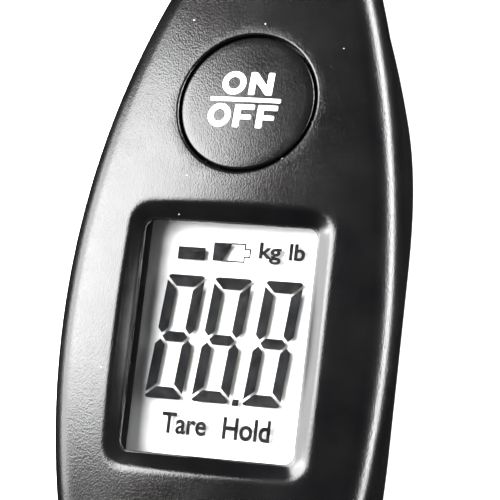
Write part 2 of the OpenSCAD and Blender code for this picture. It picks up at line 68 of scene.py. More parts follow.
def make_camera():
    back = Vector((
        math.cos(TILT_DOWN) * math.sin(TILT_RIGHT),
        -math.sin(TILT_DOWN),
        math.cos(TILT_DOWN) * math.cos(TILT_RIGHT),
    ))
    level_up = (Vector((0, 1, 0)) - back * back.y).normalized()
    level_right = level_up.cross(back)
    right = level_right * math.cos(ROLL) + level_up * math.sin(ROLL)
    up = level_up * math.cos(ROLL) - level_right * math.sin(ROLL)
    camera = bpy.data.objects.new("camera", bpy.data.cameras.new("camera"))
    bpy.context.scene.collection.objects.link(camera)
    camera.data.lens = 180
    camera.data.sensor_width = 36
    camera.data.clip_start = 0.01
    turn = Matrix((right, up, back)).transposed().to_4x4()
    camera.matrix_world = Matrix.Translation((AIM + back * DISTANCE) * MM) @ turn
    bpy.context.scene.camera = camera


make_camera()

# ---- Driving dimensions of the covers ----

SIDE_R = 121.0
SIDE_X = 100.0
END_R = 61.0
NOSE_R = 3.4
BODY_H = 26.0
CROWN_LONG = 171.0
CROWN_CROSS = 92.0
RIM_H = 3.5
WALL = 2.2
EDGE_W = 3.0
EDGE_H = 2.6
SEAM_GAP = 0.05
SEAM_FILLET = 0.25

VIEW_Y = -0.5
LIP_HALF = (10.85, 13.8)
RECESS_HALF = (12.8, 16.0)
LIP_Z = 23.8
WINDOW_TOP = 23.3
POCKET_HALF = (12.15, 15.1)
POCKET_Z = 22.2
FRAME_BOSS_HALF = (14.5, 17.4)

BUTTON_Y = 28.0
HOLE_R = 8.63
BUTTON_R = 8.32
COLLAR_R = 10.2
COLLAR_Z = 18.9

UNIT_AT = (8.5, -23.5)
SCREWS_AT = [(sx * 8.9, sy * 36.0) for sx in (-1, 1) for sy in (-1, 1)]
BOARD_SCREWS_AT = [(-11.2, 20.5), (11.2, 20.5), (-11.2, -24.0)]
KEEL_Y = 38.0
KEEL_SLOPE = 3.2 / 24
BACK_FILLET = 0.6
FACE_T = 2.0
FLOOR_T = 2.0

# The back's flanks and walls are arcs that lean inwards going down
FLANK_R = 150.0
FLANK_LEAN = math.radians(12)
FLANK_Z = 20.0
FLANK_X = 20.6
WALL_R = 200.0
WALL_LEAN = math.radians(7)
WALL_Z = 21.0

LOAD_Z = 9.5
PIVOT_Y = 66.0


def face_z(x, y, drop=0.0):
    """Height of the doubly curved face, lowered by drop along its own curve."""
    across = CROWN_LONG - CROWN_CROSS + math.sqrt((CROWN_CROSS - drop) ** 2 - x * x)
    return BODY_H - CROWN_LONG + math.sqrt(across * across - y * y)


def seam_z(x, y):
    return face_z(x, y, RIM_H)


def roof_z(x, y):
    """Inside of the face."""
    return face_z(x, y, FACE_T)


def keel_z(y):
    """Underside seen from the side: flat, then rising to the ends after a soft bend."""
    past, soft = abs(y) - KEEL_Y, 3.0
    if past < -soft:
        return 0.0
    if past < soft:
        return KEEL_SLOPE * (past + soft) ** 2 / (4 * soft)
    return KEEL_SLOPE * past


def flank_x(z):
    """Half-width that the back's rounded flanks leave at height z."""
    turn = math.asin(math.sin(FLANK_LEAN) + (FLANK_Z - z) / FLANK_R)
    return FLANK_R * math.cos(turn) - FLANK_R * math.cos(FLANK_LEAN) + FLANK_X


def wall_lean(z):
    """How far the back's walls have leaned inwards at height z."""
    turn = math.asin(math.sin(WALL_LEAN) + (WALL_Z - z) / WALL_R)
    return max(0.0, WALL_R * (math.cos(WALL_LEAN) - math.cos(turn)))


def soft_min(a, b, blend):
    return min(a, b) - max(blend - abs(a - b), 0.0) ** 2 / (4 * blend)


def steps(low, high, count):
    return [low + (high - low) * k / count for k in range(count + 1)]


# ---- Plan loops ----

def outline(inset=0.0):
    """The covers' plan moved inwards: two long side arcs and two short end arcs, joined by round noses."""
    side_r, end_r, nose_r = SIDE_R - inset, END_R - inset, max(0.5, NOSE_R - inset)
    hub_x = ((side_r - nose_r) ** 2 - (end_r - nose_r) ** 2 - SIDE_X ** 2) / (2 * SIDE_X)
    hub_y = math.sqrt((end_r - nose_r) ** 2 - hub_x ** 2)
    leave = math.atan2(hub_y, hub_x + SIDE_X)
    meet = math.atan2(hub_y, hub_x)
    arcs = [
        (-SIDE_X, 0.0, side_r, steps(0, leave, 60)),
        (hub_x, hub_y, nose_r, steps(leave, meet, 9)[1:]),
        (0.0, 0.0, end_r, steps(meet, math.pi / 2, 3)[1:]),
    ]
    quarter = [(x + r * math.cos(a), y + r * math.sin(a)) for x, y, r, angles in arcs for a in angles]
    half = quarter + [(-x, y) for x, y in quarter[-2::-1]]
    return half + [(x, -y) for x, y in half[-2:0:-1]]


def circle(at, r, count=72):
    return [
        (at[0] + r * math.cos(2 * math.pi * k / count), at[1] + r * math.sin(2 * math.pi * k / count))
        for k in range(count)
    ]


def round_rect(at, half, r, side_steps=(14, 18), corner_steps=8):
    """A rounded rectangle; any size gives the same number of points, so that two of them can be joined."""
    points = []
    inner = (half[0] - r, half[1] - r)
    signs = [(1, 1), (-1, 1), (-1, -1), (1, -1)]
    for k, (sx, sy) in enumerate(signs):
        hub = (at[0] + sx * inner[0], at[1] + sy * inner[1])
        start = k * math.pi / 2
        arc = [
            (hub[0] + r * math.cos(start + t), hub[1] + r * math.sin(start + t))
            for t in steps(0, math.pi / 2, corner_steps)
        ]
        nx, ny = signs[(k + 1) % 4]
        after = (at[0] + nx * inner[0], at[1] + ny * inner[1])
        turn = start + math.pi / 2
        end = (after[0] + r * math.cos(turn), after[1] + r * math.sin(turn))
        count = side_steps[k % 2]
        run = [
            (arc[-1][0] + (end[0] - arc[-1][0]) * t, arc[-1][1] + (end[1] - arc[-1][1]) * t)
            for t in steps(0, 1, count)[1:-1]
        ]
        points += arc + run
    return points


def inside(loop, points):
    """Which of these points lie inside the loop, by counting crossings."""
    px, py = points[:, 0:1], points[:, 1:2]
    a = np.array(loop, float)
    b = np.roll(a, -1, axis=0)
    spans = (a[:, 1] > py) != (b[:, 1] > py)
    rise = np.where(b[:, 1] == a[:, 1], 1e-12, b[:, 1] - a[:, 1])
    cross = a[:, 0] + (py - a[:, 1]) * (b[:, 0] - a[:, 0]) / rise
    return (spans & (px < cross)).sum(axis=1) % 2 == 1


# ---- A mesh that grows ring by ring ----

class Skin:
    def __init__(self):
        self.points = []
        self.faces = []

    def add(self, points):
        """Adds a ring of points and returns their numbers."""
        first = len(self.points)
        self.points += points
        return list(range(first, len(self.points)))

    def ring(self, loop, height):
        """Adds a ring over a flat loop; height is a number or a function of x and y."""
        return self.add([(x, y, height(x, y) if callable(height) else height) for x, y in loop])

    def band(self, a, b):
        n = len(a)
        self.faces += [(a[k], a[(k + 1) % n], b[(k + 1) % n], b[k]) for k in range(n)]

    def chain(self, rings):
        """Joins each ring to the next and returns the first and the last."""
        for a, b in zip(rings, rings[1:]):
            self.band(a, b)
        return rings[0], rings[-1]

    def solid(self, rings):
        """Joins the rings and closes both ends with a flat face."""
        self.faces += [tuple(end) for end in self.chain(rings)]

    def fill(self, outer, holes, height, spacing):
        """Triangles between an outer ring and the rings of its holes, over a curved height."""
        loops = [outer] + holes
        flat = [[self.points[i][:2] for i in loop] for loop in loops]
        index = [i for loop in loops for i in loop]
        edges, first = [], 0
        for loop in loops:
            n = len(loop)
            edges += [(first + k, first + (k + 1) % n) for k in range(n)]
            first += n
        rim = np.array([p for loop in flat for p in loop])
        low, high = rim.min(0), rim.max(0)
        row_h = spacing * math.sqrt(3) / 2
        grid = np.array([
            (x + (spacing / 2 if row % 2 else 0), low[1] + row * row_h)
            for row in range(int((high[1] - low[1]) / row_h) + 1)
            for x in np.arange(low[0], high[0], spacing)
        ])

        def kept(points):
            good = inside(flat[0], points)
            for hole in flat[1:]:
                good &= ~inside(hole, points)
            return good

        near = np.array([np.min(np.hypot(*(rim - p).T)) for p in grid])
        grid = grid[kept(grid) & (near > 0.62 * spacing)]
        flat_points = [Vector(p) for p in rim] + [Vector(p) for p in grid]
        verts, _, tris, origin, _, _ = geometry.delaunay_2d_cdt(flat_points, edges, [], 1, 1e-5)
        names = []
        for v, source in zip(verts, origin):
            if source and min(source) < len(index):
                names.append(index[min(source)])
            else:
                names.append(len(self.points))
                self.points.append((v.x, v.y, height(v.x, v.y) if callable(height) else height))
        centres = np.array([[sum(verts[i][c] for i in t) / 3 for c in (0, 1)] for t in tris])
        self.faces += [tuple(names[i] for i in t) for t, ok in zip(tris, kept(centres)) if ok]

    def turned(self, at, profile, count=72):
        """Circles about a line along Z, one for each (radius, height)."""
        return [self.ring(circle(at, r, count), height) for r, height in profile]

    def post(self, at, bore_r, r, low, high):
        """A hollow round post along Z."""
        rings = self.turned(at, [(bore_r, low), (r, low), (r, high), (bore_r, high)], 32)
        self.chain(rings + [rings[0]])

    def piece(self, name):
        return linked(name, mesh_of(name, self.points, self.faces))


def linked(name, mesh):
    made = bpy.data.objects.new(name, mesh)
    bpy.context.scene.collection.objects.link(made)
    return made


def finished(obj, body, look, replaces=(), sharp=38):
    """Shades the piece, gives it its material and its place in the frame."""
    for polygon in obj.data.polygons:
        polygon.use_smooth = True
    obj.data.set_sharp_from_angle(angle=math.radians(sharp))
    obj.data.materials.clear()
    obj.data.materials.append(look)
    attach(obj, body)
    if replaces:
        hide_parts(*replaces)
    return obj


def turned_out(mesh, weld=0.0):
    """Welds points nearer than weld metres and turns the faces outwards."""
    work = bmesh.new()
    work.from_mesh(mesh)
    if weld:
        bmesh.ops.remove_doubles(work, verts=work.verts, dist=weld)
    bmesh.ops.recalc_face_normals(work, faces=work.faces)
    work.to_mesh(mesh)
    work.free()
    return mesh


def mesh_of(name, points, faces):
    """A closed mesh in metres, welded and with its faces turned outwards."""
    mesh = bpy.data.meshes.new(name)
    mesh.from_pydata([Vector(p) * MM for p in points], [], faces)
    return turned_out(mesh, 2e-6)


def evaluated_mesh(obj):
    """What the object's modifiers or text make of it, as a mesh."""
    bpy.context.view_layer.update()
    ready = obj.evaluated_get(bpy.context.evaluated_depsgraph_get())
    return bpy.data.meshes.new_from_object(ready)


def cut(obj, cutter):
    """Subtracts the cutter and throws it away."""
    step = obj.modifiers.new("cut", "BOOLEAN")
    step.operation = "DIFFERENCE"
    step.solver = "EXACT"
    step.object = cutter
    mesh = evaluated_mesh(obj)
    obj.modifiers.clear()
    obj.data = mesh
    bpy.data.objects.remove(cutter)


# ---- Materials ----

class Look:
    """A Principled material whose colour, roughness and bump come from procedural textures."""

    def __init__(self, name, rough=0.5, metal=0.0, **fixed):
        self.material = bpy.data.materials.new(name)
        self.material.use_nodes = True
        self.tree = self.material.node_tree
        self.shader = self.tree.nodes["Principled BSDF"]
        self.shader.inputs["Roughness"].default_value = rough
        self.shader.inputs["Metallic"].default_value = metal
        for socket, value in fixed.items():
            self.shader.inputs[socket.replace("_", " ")].default_value = value
        self.place = self.tree.nodes.new("ShaderNodeTexCoord").outputs["Object"]
        self.normal = None

    def link(self, source, target):
        self.tree.links.new(source, target)

    def node(self, kind, **inputs):
        """A node of this kind; each input is a value or a socket to link from."""
        made = self.tree.nodes.new(kind)
        for name, value in inputs.items():
            socket = made.inputs[name.replace("_", " ")]
            if isinstance(value, bpy.types.NodeSocket):
                self.link(value, socket)
            else:
                socket.default_value = value
        return made

    def noise(self, size, detail=2.0, stretch=(1, 1, 1)):
        """Noise whose features are about size millimetres across."""
        place = self.node("ShaderNodeMapping", Scale=stretch, Vector=self.place).outputs["Vector"]
        node = self.node("ShaderNodeTexNoise", Scale=1 / (size * MM), Detail=detail, Vector=place)
        return node.outputs["Fac"]

    def cells(self, size):
        return self.node("ShaderNodeTexVoronoi", Scale=1 / (size * MM), Vector=self.place)

    def math(self, operation, a, b=0.0):
        node = self.tree.nodes.new("ShaderNodeMath")
        node.operation = operation
        for value, socket in ((a, node.inputs[0]), (b, node.inputs[1])):
            if isinstance(value, (int, float)):
                socket.default_value = value
            else:
                self.link(value, socket)
        return node.outputs[0]

    def ranged(self, value, low, high, source=(0.35, 0.65)):
        ends = {"From_Min": source[0], "From_Max": source[1], "To_Min": low, "To_Max": high}
        return self.node("ShaderNodeMapRange", Value=value, **ends).outputs["Result"]

    def mixed(self, amount, a, b):
        """A colour from a at amount 0 to b at amount 1; each is three numbers or a socket."""
        node = self.tree.nodes.new("ShaderNodeMix")
        node.data_type = "RGBA"
        self.link(amount, node.inputs["Factor"])
        for value, socket in ((a, node.inputs[6]), (b, node.inputs[7])):
            if isinstance(value, tuple):
                socket.default_value = (*value, 1)
            else:
                self.link(value, socket)
        return node.outputs[2]

    def mottled(self, size, detail, dark, light):
        return self.mixed(self.ranged(self.noise(size, detail), 0.0, 1.0), dark, light)

    def colour(self, source):
        self.link(source, self.shader.inputs["Base Color"])

    def roughness(self, source):
        self.link(source, self.shader.inputs["Roughness"])

    def bump(self, height, depth):
        """Adds relief that is depth millimetres high."""
        node = self.node("ShaderNodeBump", Distance=depth * MM, Strength=1.0, Height=height)
        if self.normal:
            self.link(self.normal, node.inputs["Normal"])
        self.normal = node.outputs["Normal"]
        self.link(self.normal, self.shader.inputs["Normal"])


# Dust sits in cells of the spacing, in millimetres; size and rarity are shares of a cell and of all cells
DUST_SPACING = 2.4
DUST_SIZE = 0.035
DUST_RARITY = 0.62
GRAIN_SIZE = 0.21
CASE_DARK = (0.0016, 0.0016, 0.0018)
CASE_LIGHT = (0.0030, 0.0030, 0.0032)


def moulded_black(name, dark, light, rough, grain=0.02, specks=True, polished=False):
    """Satin black plastic with a fine spark-eroded grain, a few handling marks and dust."""
    look = Look(name, rough=rough)
    base = look.mottled(9, 3, dark, light)
    if specks:
        dust = look.cells(DUST_SPACING)
        small = look.math("LESS_THAN", dust.outputs["Distance"], DUST_SIZE)
        rare = look.math("GREATER_THAN", dust.outputs["Color"], DUST_RARITY)
        base = look.mixed(look.math("MULTIPLY", small, rare), base, (0.42, 0.42, 0.41))
    look.colour(base)
    look.roughness(look.ranged(look.noise(3.5, 4), rough - 0.02, rough + 0.02))
    relief = look.noise(GRAIN_SIZE, 1.5, (1.25, 0.8, 1))
    if polished:
        mask = look.tree.nodes.new("ShaderNodeAttribute")
        mask.attribute_name = "polished"
        relief = look.math("MULTIPLY", relief, look.math("SUBTRACT", 1.0, mask.outputs["Fac"]))
    look.bump(relief, grain)
    return look.material


def metal(name, dark, light, rough, brush=(1, 1, 1), brush_size=0.5, depth=0.004):
    """Metal with faint colour drift, brushed or tumbled roughness and fine relief."""
    look = Look(name, rough=rough, metal=1.0)
    look.colour(look.mottled(4, 3, dark, light))
    look.roughness(look.ranged(look.noise(brush_size, 4, brush), rough * 0.75, rough * 1.3))
    look.bump(look.noise(brush_size, 3, brush), depth)
    return look.material


def plain(name, dark, light, rough, size=1.5, depth=0.01, **fixed):
    """A dielectric with a gentle mottle, for the parts inside."""
    look = Look(name, rough=rough, **fixed)
    look.colour(look.mottled(size, 3, dark, light))
    look.roughness(look.ranged(look.noise(size * 0.6, 2), rough - 0.05, rough + 0.05))
    look.bump(look.noise(size * 0.4, 2), depth)
    return look.material


def clear(name, alpha, rough=0.04, **fixed):
    """A clear sheet: a faint glossy skin over whatever lies under it."""
    look = Look(name, rough=rough, Alpha=alpha, **fixed)
    look.colour(look.mottled(3, 2, (0.015, 0.015, 0.016), (0.03, 0.03, 0.032)))
    look.roughness(look.ranged(look.noise(1.5, 3), rough * 0.8, rough * 1.2))
    return look.material


# Distance between the ribs that run along the webbing
RIB_PITCH = 1.6


def webbing_look():
    """Black nylon webbing: herringbone ribs that follow the strap's own length and width."""
    look = Look("nylon_webbing", rough=0.7, Sheen_Weight=0.03, Sheen_Roughness=0.5, Specular_IOR_Level=0.2)
    along = look.tree.nodes.new("ShaderNodeAttribute")
    along.attribute_name = "strap"
    split = look.tree.nodes.new("ShaderNodeSeparateXYZ")
    look.link(along.outputs["Vector"], split.inputs["Vector"])
    run, side = split.outputs["X"], split.outputs["Y"]
    pitch, rib = 1.15, RIB_PITCH
    lane = look.math("PINGPONG", side, rib)
    wave = look.math("SINE", look.math("MULTIPLY", look.math("ADD", run, lane), 2 * math.pi / pitch))
    across = look.math("SINE", look.math("MULTIPLY", side, 2 * math.pi / rib * 2))
    weave = look.math("ADD", look.math("MULTIPLY", wave, 0.5), look.math("MULTIPLY", across, 0.25))
    lift = look.ranged(weave, 0.0, 1.0, (-0.75, 0.75))
    fuzz = look.noise(0.25, 3)
    # Painted shade: the colour follows the weave's relief, darker in the hollows between the ribs and lighter
    # on their tops, plus a random fuzz tone
    rib_shade_and_fuzz = look.math("ADD", look.math("MULTIPLY", lift, 0.8), look.math("MULTIPLY", fuzz, 0.3))
    look.colour(look.mixed(rib_shade_and_fuzz, (0.0025, 0.0025, 0.003), (0.013, 0.013, 0.0145)))
    look.roughness(look.ranged(fuzz, 0.6, 0.8))
    look.bump(lift, 0.22)
    look.bump(fuzz, 0.03)
    return look.material


LOOKS = {
    "case": moulded_black("case_black", CASE_DARK, CASE_LIGHT, 0.22, 0.026, polished=True),
    "button": moulded_black("button_black", CASE_DARK, CASE_LIGHT, 0.22, 0.022, specks=False),
    "door": moulded_black("door_black", (0.002, 0.002, 0.0022), (0.004, 0.004, 0.0042), 0.34, specks=False),
    "unit": plain("unit_grey", (0.06, 0.06, 0.062), (0.09, 0.09, 0.092), 0.5, 0.8, 0.012),
    "print": plain("white_print", (0.60, 0.60, 0.59), (0.70, 0.70, 0.69), 0.5, 0.6, 0.006),
    "window": clear("clear_window", 0.08, 0.05, IOR=2.0),
    "glass": clear("clear_glass", 0.02, 0.05),
    "reflector": plain(
        "lcd_white", (0.88, 0.885, 0.87), (0.92, 0.925, 0.91), 0.55, 3.0, 0.004,
        Subsurface_Weight=1.0, Subsurface_Radius=(1, 1, 0.95), Subsurface_Scale=0.0009,
    ),
    "ink": plain(
        "lcd_dark", (0.001, 0.001, 0.0012), (0.010, 0.010, 0.0105), 0.6, 1.3, 0.002, Specular_IOR_Level=0.08,
    ),
    "inner": plain("inner_plastic", (0.012, 0.012, 0.013), (0.02, 0.02, 0.021), 0.55),
    "elastomer": plain("elastomer", (0.05, 0.05, 0.055), (0.12, 0.12, 0.13), 0.6, 0.4, 0.02),
    "board": plain("board_green", (0.012, 0.10, 0.045), (0.02, 0.15, 0.07), 0.35, 2.0, 0.01),
    "chip": plain("chip_black", (0.012, 0.012, 0.013), (0.022, 0.022, 0.024), 0.5, 0.5, 0.01),
    "passives": plain("ceramic_tan", (0.35, 0.24, 0.13), (0.48, 0.34, 0.2), 0.45, 0.7, 0.01),
    "plunger": plain("plunger_ivory", (0.55, 0.52, 0.42), (0.66, 0.62, 0.52), 0.45, 0.8, 0.008),
    "wire": plain("wire_skin", (0.28, 0.02, 0.015), (0.42, 0.035, 0.03), 0.4, 1.0, 0.01),
    "gauge": metal("gauge_foil", (0.7, 0.45, 0.15), (0.85, 0.6, 0.28), 0.4),
    "aluminium": metal("milled_aluminium", (0.66, 0.67, 0.68), (0.78, 0.79, 0.80), 0.34, (1, 14, 1), 0.6, 0.01),
    "bolt": metal("plated_bolt", (0.56, 0.56, 0.57), (0.62, 0.62, 0.63), 0.24, (1, 9, 1), 0.5, 0.0012),
    "chrome": metal("chromed_wire", (0.66, 0.67, 0.68), (0.74, 0.75, 0.76), 0.14, (1, 1, 1), 1.2, 0.0015),
    "can": metal("bright_can", (0.7, 0.7, 0.71), (0.8, 0.8, 0.81), 0.22),
    "contact": metal("contact_nickel", (0.68, 0.66, 0.6), (0.78, 0.76, 0.7), 0.28),
    "screw": metal("screw_zinc", (0.42, 0.42, 0.43), (0.5, 0.5, 0.52), 0.28, (1, 1, 1), 0.35, 0.0015),
    "webbing": webbing_look(),
    "thread": plain(
        "sewing_thread", (0.012, 0.012, 0.013), (0.03, 0.03, 0.032), 0.65, 0.3, 0.03, Specular_IOR_Level=0.3,
    ),
}

NODE_LOOKS = {
    "battery_door": "door", "unit_button": "unit", "display_window": "window",
    "lcd_frame": "inner", "zebra_strips": "elastomer",
    "circuit_board": "board", "controller_chip": "chip", "amplifier_chip": "chip",
    "board_passives": "passives", "crystal_can": "can",
    "power_switch": "inner", "unit_switch": "inner",
    "power_switch_plunger": "plunger", "unit_switch_plunger": "plunger",
    "load_cell": "aluminium", "strain_gauges": "gauge", "gauge_wires": "wire",
    "load_cell_screws": "screw", "lock_nuts": "bolt", "upper_eye_bolt": "bolt", "lower_eye_bolt": "bolt",
    "battery_cell": "can", "positive_contact": "contact", "negative_contact": "contact",
    "battery_leads": "wire", "case_screws": "screw", "board_screws": "screw",
}

EDGE_WIDTHS = {"battery_door": 0.15, "unit_button": 0.2, "upper_eye_bolt": 0.35, "lower_eye_bolt": 0.35}


def dress_cad_nodes():
    for node, look in NODE_LOOKS.items():
        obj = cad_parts[node]
        obj.data.materials.clear()
        obj.data.materials.append(LOOKS[look])


def soften_cad_edges():
    """Rounds some carried-over nodes' edges without touching their meshes."""
    for node, width in EDGE_WIDTHS.items():
        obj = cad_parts[node]
        weld = obj.modifiers.new("weld", "WELD")
        weld.merge_threshold = 2e-6
        bevel = obj.modifiers.new("edges", "BEVEL")
        bevel.width = width * MM
        bevel.segments = 2
        bevel.limit_method = "ANGLE"
        bevel.angle_limit = math.radians(40)
        bevel.harden_normals = False


# ---- Covers ----

def display_recess(skin):
    """From the recess's rim down to the window pocket and round the frame boss; returns both open rings."""
    at = (0, VIEW_Y)
    run = [RECESS_HALF[i] - LIP_HALF[i] - 0.2 for i in (0, 1)]
    rim_r, lip_r, lead, reach = 2.7, 1.3, 0.55, 0.24

    def ring(grow, depth):
        """grow moves the ring outwards at the rim; depth is 0 at the face and 1 at the lip."""
        half = [RECESS_HALF[i] - run[i] * depth + grow for i in (0, 1)]
        r = rim_r + (lip_r - rim_r) * depth + grow
        hub = (0.3 * (1 - depth), VIEW_Y)
        return skin.ring(
            round_rect(hub, half, r), lambda x, y: face_z(x, y) * (1 - depth) + LIP_Z * depth
        )

    rounded = [ring(lead * (1 - t) ** 2, reach * t * t) for t in steps(0, 1, 6)]
    wall = [ring(0, d) for d in (0.45, 0.65, 0.85, 0.97)]

    def level(half, grow, r, z):
        return skin.ring(round_rect(at, (half[0] + grow, half[1] + grow), r), z)

    lip = [
        level(LIP_HALF, 0.17, lip_r + 0.1, LIP_Z - 0.01), level(LIP_HALF, 0.09, lip_r, LIP_Z - 0.01),
        level(LIP_HALF, 0.03, lip_r, LIP_Z - 0.05), level(LIP_HALF, 0.0, lip_r, LIP_Z - 0.13),
        level(LIP_HALF, 0.0, lip_r, WINDOW_TOP),
        level(POCKET_HALF, 0.0, 0.6, WINDOW_TOP), level(POCKET_HALF, 0.0, 0.6, POCKET_Z),
        level(FRAME_BOSS_HALF, 0.0, 1.0, POCKET_Z),
    ]
    roof = skin.ring(round_rect(at, FRAME_BOSS_HALF, 1.0), roof_z)
    return skin.chain(rounded + wall + lip + [roof])


def button_hole(skin):
    """From the rounded rim of the button hole down its collar and back up to the roof."""
    at, lead = (0, BUTTON_Y), 0.34
    rounded = [
        skin.ring(
            circle(at, HOLE_R + lead * (1 - math.sin(a))),
            lambda x, y, a=a: face_z(x, y) - lead * (1 - math.cos(a)),
        )
        for a in steps(0, math.pi / 2, 5)
    ]
    collar = skin.turned(at, [(HOLE_R, COLLAR_Z), (COLLAR_R, COLLAR_Z), (COLLAR_R, roof_z)])
    return skin.chain(rounded + collar)


def front_cover():
    skin = Skin()
    low = lambda x, y: seam_z(x, y) + SEAM_GAP
    inner = [
        skin.ring(outline(WALL), roof_z),
        skin.ring(outline(WALL), low),
        skin.ring(outline(SEAM_FILLET), low),
    ]
    rim = [
        skin.ring(
            outline(SEAM_FILLET * (1 - math.sin(a))),
            lambda x, y, a=a: low(x, y) + SEAM_FILLET * (1 - math.cos(a)),
        )
        for a in steps(math.pi / 8, math.pi / 2, 3)
    ]
    edge = [
        skin.ring(
            outline(EDGE_W * (1 - math.cos(a))),
            lambda x, y, a=a: face_z(x, y) - EDGE_H * (1 - math.sin(a)),
        )
        for a in steps(0, math.pi / 2, 12)
    ]
    roof, face = skin.chain(inner + rim + edge)
    recess_top, recess_roof = display_recess(skin)
    hole_top, hole_roof = button_hole(skin)
    skin.fill(face, [recess_top, hole_top], face_z, spacing=1.0)
    skin.fill(roof, [recess_roof, hole_roof], roof_z, spacing=3.0)
    for at in SCREWS_AT:
        skin.post(at, bore_r=0.95, r=2.0, low=16.1, high=19.4)
    for at in BOARD_SCREWS_AT:
        skin.post(at, bore_r=0.8, r=1.8, low=15.6, high=21.0)
    obj = skin.piece("front_cover_shell")
    cut(obj, slot_cutter("front_slots"))
    polished = []
    for vertex in obj.data.vertices:
        x, y, z = vertex.co / MM
        in_recess = abs(x - 0.2) < RECESS_HALF[0] and abs(y - VIEW_Y) < RECESS_HALF[1]
        polished.append(1.0 if in_recess and z < face_z(x, y) - 0.3 else 0.0)
    obj.data.attributes.new("polished", "FLOAT", "POINT").data.foreach_set("value", polished)
    return finished(obj, "case", LOOKS["case"], ["front_cover"], 32)


def slot_cutter(name):
    """Two rounded bars that cut the tongue slots in both noses."""
    half_w, half_h, r, start_y, end_y = 2.9, 3.8, 0.5, 53.0, 65.0
    skin = Skin()
    section = round_rect((0, LOAD_Z), (half_w, half_h), r, (1, 1), 4)
    for side in (-1, 1):
        skin.solid([skin.add([(x, side * y, z) for x, z in section]) for y in (start_y, end_y)])
    return skin.piece(name)


PLAN_STEP = 0.5
PLANS = [outline(k * PLAN_STEP) for k in range(18)]


def rear_loop(inset, height, blend):
    """The covers' plan, moved in where the walls lean and the flanks are, with each point's own height."""
    loop = []
    for k in range(len(PLANS[0])):
        total = inset
        for _ in range(3):
            level = int(total / PLAN_STEP)
            share = total / PLAN_STEP - level
            (ax, ay), (bx, by) = PLANS[level][k], PLANS[level + 1][k]
            x, y = ax + (bx - ax) * share, ay + (by - ay) * share
            z = height(x, y)
            total = inset + wall_lean(z)
        width = soft_min(abs(x), flank_x(z) - inset, blend)
        loop.append((math.copysign(width, x), y, z))
    return loop


def rear_cover():
    skin = Skin()

    def ring(inset, height, blend=1.2):
        return skin.add(rear_loop(inset, height, blend))

    top = lambda x, y: seam_z(x, y) - SEAM_GAP

    def between(share, low_offset):
        """A height that is at the seam for share 0 and low_offset above the keel for share 1."""
        return lambda x, y: top(x, y) * (1 - share) + (keel_z(y) + low_offset) * share

    inner = [ring(WALL, between(s, FLOOR_T)) for s in steps(1, 0, 5)]
    rim = [
        ring(
            SEAM_FILLET * (1 - math.sin(a)),
            lambda x, y, a=a: top(x, y) - SEAM_FILLET * (1 - math.cos(a)), 0.02,
        )
        for a in steps(0, math.pi / 2, 3)
    ]
    side = [ring(0, between(s, BACK_FILLET), 0.02 + 1.6 * s) for s in steps(0.08, 1, 14)]
    fillet = [
        ring(
            BACK_FILLET * (1 - math.cos(a)),
            lambda x, y, a=a: keel_z(y) + BACK_FILLET * (1 - math.sin(a)), 1.62,
        )
        for a in steps(math.pi / 16, math.pi / 2, 7)
    ]
    floor, back = skin.chain(inner + rim + side + fillet)

    back_z = lambda x, y: keel_z(y)
    floor_z = lambda x, y: keel_z(y) + FLOOR_T

    def well(at, mouth_r, profile, count):
        """Rings down a hole from the back, through each (radius, z), and up to the inner floor."""
        ends = (mouth_r, back_z), (profile[-1][0], floor_z)
        return skin.chain(skin.turned(at, [ends[0], *profile, ends[1]], count))

    bay = [
        (12.62, 0.16), (12.6, 0.4), (12.6, 1.5), (11.75, 1.5), (11.75, 2.3), (12.4, 2.3), (12.4, 3.5),
        (10.3, 3.5), (10.3, 6.3), (13.9, 6.3),
    ]
    screw_well = [(1.9, 0.12), (1.9, 2.4), (1.15, 2.4), (1.15, 15.9), (2.4, 15.9)]
    unit_well = [(3.17, 0.15), (3.15, 0.3), (3.15, 1.8), (4.05, 1.8), (4.05, 3.2), (4.9, 3.2)]
    wells = [well((0, 0), 12.78, bay, 96), well(UNIT_AT, 3.32, unit_well, 48)]
    wells += [well(at, 2.0, screw_well, 40) for at in SCREWS_AT]
    skin.fill(back, [w[0] for w in wells], back_z, spacing=1.6)
    skin.fill(floor, [w[1] for w in wells], floor_z, spacing=2.6)
    for side_x in (-7.0, 7.0):
        skin.post((side_x, 13.6), bore_r=0.8, r=2.0, low=1.9, high=6.6)
    obj = skin.piece("rear_cover_shell")
    cut(obj, slot_cutter("rear_slots"))
    return finished(obj, "case", LOOKS["case"], ["rear_cover"], 32)


# ---- Power button and its print ----

def button_top(x, y):
    return face_z(x, y, 0.15)


def power_button():
    at, fillet, centre_r = (0, BUTTON_Y), 0.32, 0.3
    flange_r, flange_top, flange_z = 9.7, 18.75, 17.65
    hollow_r, stem_r, stem_z = 7.1, 2.2, 20.9
    skin = Skin()
    roof = lambda x, y: face_z(x, y, 1.7)
    rings = skin.turned(at, [(r, button_top) for r in steps(centre_r, BUTTON_R - fillet, 9)])
    rings += [
        skin.ring(
            circle(at, BUTTON_R - fillet * (1 - math.sin(a))),
            lambda x, y, a=a: button_top(x, y) - fillet * (1 - math.cos(a)),
        )
        for a in steps(math.pi / 10, math.pi / 2, 4)
    ]
    flange = [(BUTTON_R, flange_top), (flange_r, flange_top), (flange_r, flange_z), (hollow_r, flange_z)]
    hollow = [(hollow_r, roof), (stem_r, roof), (stem_r, stem_z), (centre_r, stem_z)]
    skin.solid(rings + skin.turned(at, flange + hollow))
    obj = skin.piece("power_button_cap")
    return finished(obj, "power_button", LOOKS["button"], ["power_button"], 40)


def rounded(corners, r, count=4):
    """A polygon with its corners rounded by quadratic curves."""
    made, n = [], len(corners)
    for k in range(n):
        before, here, after = (Vector(corners[(k + j) % n]) for j in (-1, 0, 1))
        start = here + (before - here).normalized() * min(r, (before - here).length / 2)
        end = here + (after - here).normalized() * min(r, (after - here).length / 2)
        for t in steps(0, 1, count):
            made.append(tuple(start * (1 - t) ** 2 + here * 2 * t * (1 - t) + end * t * t))
    return made


